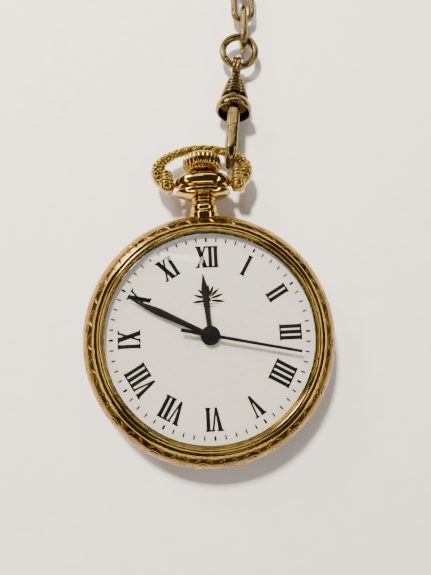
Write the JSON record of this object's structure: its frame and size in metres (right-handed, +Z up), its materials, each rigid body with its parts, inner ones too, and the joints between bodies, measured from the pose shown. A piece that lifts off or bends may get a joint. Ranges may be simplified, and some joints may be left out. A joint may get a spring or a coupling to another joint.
{
  "type": "pocket watch",
  "caption": "Open-face pocket watch with Roman dial, fluted pendant crown, folding bow, sealed mechanical movement and a swivel clasp on a cable chain.",
  "frame": {"origin": "centre of the flat on the case back, on which the watch rests", "axes": "+Z up out of the dial, +Y from the centre to the crown at twelve, +X to three"},
  "size_m": [0.0569, 0.1558, 0.0119],
  "materials": {
    "case_gold": "gold plate, satin between engraved scrolls",
    "polished_gold": "mirror-polished gold plate",
    "crystal": "clear domed acrylic",
    "dial": "off-white satin lacquer with black printed numerals",
    "hand_black": "gloss black",
    "nickel": "striped nickel plate",
    "blued_steel": "heat-blued polish",
    "wheel_brass": "gilt brass, circular grain",
    "steel": "polished steel",
    "ruby": "polished synthetic ruby",
    "antique_brass": "antique brass, browned in the hollows"
  },
  "bodies": {
    "case": {"case_middle": "case_gold", "case_back": "polished_gold", "bezel": "polished_gold", "crystal": "crystal", "dial": "dial", "pendant": "case_gold", "case_screws": "blued_steel", "mainplate": "nickel", "barrel_bridge": "nickel", "train_bridge": "nickel", "balance_cock": "nickel", "pallet_bridge": "nickel", "bridge_screws": "blued_steel", "jewels": "ruby", "crown_wheel_screw": "blued_steel", "click_spring": "blued_steel", "seconds_spring": "blued_steel", "setting_bridge": "nickel"},
    "bow": {"bow": "case_gold", "bow_screws": "polished_gold"},
    "stem": {"winding_stem": "steel"},
    "crown": {"crown": "polished_gold"},
    "winding_pinion": {"winding_pinion": "steel"},
    "crown_wheel": {"crown_wheel": "steel"},
    "ratchet": {"ratchet_wheel": "steel", "barrel_arbor": "steel", "ratchet_screw": "blued_steel"},
    "click": {"click": "steel"},
    "sliding_pinion": {"sliding_pinion": "steel"},
    "setting_lever": {"setting_lever": "steel"},
    "yoke": {"yoke": "steel"},
    "minutes": {"minute_hand": "hand_black", "cannon_pinion": "steel"},
    "hours": {"hour_hand": "hand_black", "hour_wheel": "wheel_brass"},
    "seconds": {"seconds_hand": "hand_black", "seconds_pinion": "steel"},
    "minute_wheel": {"minute_wheel": "wheel_brass"},
    "setting_wheel": {"setting_wheel": "wheel_brass"},
    "barrel": {"barrel": "wheel_brass", "mainspring": "blued_steel"},
    "centre": {"centre_wheel": "wheel_brass"},
    "third": {"third_wheel": "wheel_brass", "sweep_wheel": "wheel_brass"},
    "fourth": {"fourth_wheel": "wheel_brass"},
    "escape": {"escape_wheel": "steel"},
    "pallet": {"pallet_fork": "steel"},
    "balance": {"balance_wheel": "wheel_brass", "hairspring": "blued_steel"},
    "clasp": {"clasp_hook": "antique_brass", "gate_pin": "antique_brass", "clasp_bell": "antique_brass"},
    "gate": {"clasp_gate": "antique_brass"},
    "swivel": {"swivel_eye": "antique_brass"},
    "ring": {"jump_ring": "antique_brass"},
    "link_1": {"link_1": "antique_brass"},
    "link_2": {"link_2": "antique_brass"},
    "chain": {"chain_links": "antique_brass", "t_bar": "antique_brass"}
  },
  "joints": [
    {"name": "bow_swing", "type": "hinge", "parent": "case", "child": "bow", "pos_m": [0, 0.0286, 0.005], "axis": [1, 0, 0], "range_deg": [0, 95]},
    {"name": "crown_pull", "type": "slide", "parent": "case", "child": "stem", "axis": [0, 1, 0], "range_m": [0, 0.0008]},
    {"name": "crown_turn", "type": "hinge", "parent": "stem", "child": "crown", "pos_m": [0, 0.033, 0.005], "axis": [0, 1, 0], "continuous": true},
    {"name": "winding_pinion_turn", "type": "hinge", "parent": "case", "child": "winding_pinion", "pos_m": [0, 0.014, 0.005], "axis": [0, 1, 0], "continuous": true},
    {"name": "crown_wheel_turn", "type": "hinge", "parent": "case", "child": "crown_wheel", "pos_m": [0, 0.0112, 0.0028], "axis": [0, 0, 1], "continuous": true},
    {"name": "ratchet_turn", "type": "hinge", "parent": "case", "child": "ratchet", "pos_m": [-0.00414, 0.0053, 0.0028], "axis": [0, 0, 1], "continuous": true},
    {"name": "click_lift", "type": "hinge", "parent": "case", "child": "click", "pos_m": [-0.01006, 0.00314, 0.0028], "axis": [0, 0, 1], "range_deg": [0, 12], "stiffness_Nm_per_rad": 0.000002},
    {"name": "sliding_pinion_shift", "type": "slide", "parent": "case", "child": "sliding_pinion", "axis": [0, 1, 0], "range_m": [-0.00072, 0]},
    {"name": "setting_lever_turn", "type": "hinge", "parent": "case", "child": "setting_lever", "pos_m": [0.0033, 0.015, 0.0063], "axis": [0, 0, 1], "range_deg": [-14, 0]},
    {"name": "yoke_turn", "type": "hinge", "parent": "case", "child": "yoke", "pos_m": [-0.0046, 0.01235, 0.0063], "axis": [0, 0, 1], "range_deg": [-9, 0]},
    {"name": "minute_hand_turn", "type": "hinge", "parent": "case", "child": "minutes", "pos_m": [0, 0, 0.008], "axis": [0, 0, -1], "continuous": true},
    {"name": "centre_wheel_turn", "type": "hinge", "parent": "case", "child": "centre", "pos_m": [0, 0, 0.005], "axis": [0, 0, -1], "continuous": true},
    {"name": "hour_hand_turn", "type": "hinge", "parent": "case", "child": "hours", "pos_m": [0, 0, 0.0075], "axis": [0, 0, -1], "continuous": true},
    {"name": "minute_wheel_turn", "type": "hinge", "parent": "case", "child": "minute_wheel", "pos_m": [0.00105, 0.00319, 0.0063], "axis": [0, 0, -1], "continuous": true},
    {"name": "setting_wheel_turn", "type": "hinge", "parent": "case", "child": "setting_wheel", "pos_m": [0, 0.0074, 0.0062], "axis": [0, 0, -1], "continuous": true},
    {"name": "barrel_turn", "type": "hinge", "parent": "case", "child": "barrel", "pos_m": [-0.00414, 0.0053, 0.004], "axis": [0, 0, -1], "continuous": true},
    {"name": "third_wheel_turn", "type": "hinge", "parent": "case", "child": "third", "pos_m": [0.00576, 0.00102, 0.004], "axis": [0, 0, -1], "continuous": true},
    {"name": "fourth_wheel_turn", "type": "hinge", "parent": "case", "child": "fourth", "pos_m": [0.00657, -0.00359, 0.004], "axis": [0, 0, -1], "continuous": true},
    {"name": "seconds_hand_turn", "type": "hinge", "parent": "case", "child": "seconds", "pos_m": [0, 0, 0.0089], "axis": [0, 0, -1], "continuous": true},
    {"name": "escape_wheel_turn", "type": "hinge", "parent": "case", "child": "escape", "pos_m": [0.0032, -0.00642, 0.0045], "axis": [0, 0, -1], "continuous": true},
    {"name": "pallet_rock", "type": "hinge", "parent": "case", "child": "pallet", "pos_m": [0.00064, -0.0071, 0.0045], "axis": [0, 0, 1], "range_deg": [-4, 4]},
    {"name": "balance_swing", "type": "hinge", "parent": "case", "child": "balance", "pos_m": [-0.00317, -0.00812, 0.004], "axis": [0, 0, 1], "range_deg": [-135, 135], "stiffness_Nm_per_rad": 0.000001},
    {"name": "clasp_swing", "type": "hinge", "parent": "bow", "child": "clasp", "pos_m": [0.006, 0.03544, 0.00355], "axis": [0.866, -0.4891, 0.104], "range_deg": [0, 20]},
    {"name": "gate_open", "type": "hinge", "parent": "clasp", "child": "gate", "pos_m": [0.00692, 0.04494, 0.0055], "axis": [0.9925, -0.1219, 0], "range_deg": [0, 24], "stiffness_Nm_per_rad": 0.0002, "springref_deg": -11.46},
    {"name": "swivel_turn", "type": "hinge", "parent": "clasp", "child": "swivel", "pos_m": [0.00741, 0.04896, 0.00339], "axis": [0.1217, 0.9912, -0.0523], "continuous": true},
    {"name": "ring_swing", "type": "hinge", "parent": "swivel", "child": "ring", "pos_m": [0.00816, 0.05492, 0.00275], "axis": [0.9781, -0.2079, 0], "range_deg": [0, 60]},
    {"name": "link_1_swing", "type": "hinge", "parent": "ring", "child": "link_1", "pos_m": [0.0101, 0.0613, 0.0025], "axis": [0, 0, 1], "range_deg": [-20, 5]},
    {"name": "link_2_swing", "type": "hinge", "parent": "link_1", "child": "link_2", "pos_m": [0.0102, 0.0669, 0.0025], "axis": [0, 0, 1], "range_deg": [-20, 20]},
    {"name": "chain_swing", "type": "hinge", "parent": "link_2", "child": "chain", "pos_m": [0.0104, 0.0735, 0.0025], "axis": [0, 0, 1], "range_deg": [-15, 15]}
  ],
  "couplings": [
    {"joint": "winding_pinion_turn", "follows": "crown_turn", "ratio": 1},
    {"joint": "crown_wheel_turn", "follows": "crown_turn", "ratio": 0.64286},
    {"joint": "ratchet_turn", "follows": "crown_turn", "ratio": -0.40909},
    {"joint": "sliding_pinion_shift", "follows": "crown_pull", "ratio": -0.9},
    {"joint": "setting_lever_turn", "follows": "crown_pull", "rad_per_m": -303.03},
    {"joint": "yoke_turn", "follows": "crown_pull", "rad_per_m": -195.65},
    {"joint": "centre_wheel_turn", "follows": "minute_hand_turn", "ratio": 1},
    {"joint": "hour_hand_turn", "follows": "minute_hand_turn", "ratio": 0.083333},
    {"joint": "minute_wheel_turn", "follows": "minute_hand_turn", "ratio": -0.33333},
    {"joint": "setting_wheel_turn", "follows": "minute_hand_turn", "ratio": 0.46154},
    {"joint": "barrel_turn", "follows": "minute_hand_turn", "ratio": -0.14286},
    {"joint": "third_wheel_turn", "follows": "minute_hand_turn", "ratio": -8},
    {"joint": "fourth_wheel_turn", "follows": "minute_hand_turn", "ratio": 60},
    {"joint": "seconds_hand_turn", "follows": "minute_hand_turn", "ratio": 60},
    {"joint": "escape_wheel_turn", "follows": "minute_hand_turn", "ratio": -600}
  ]
}
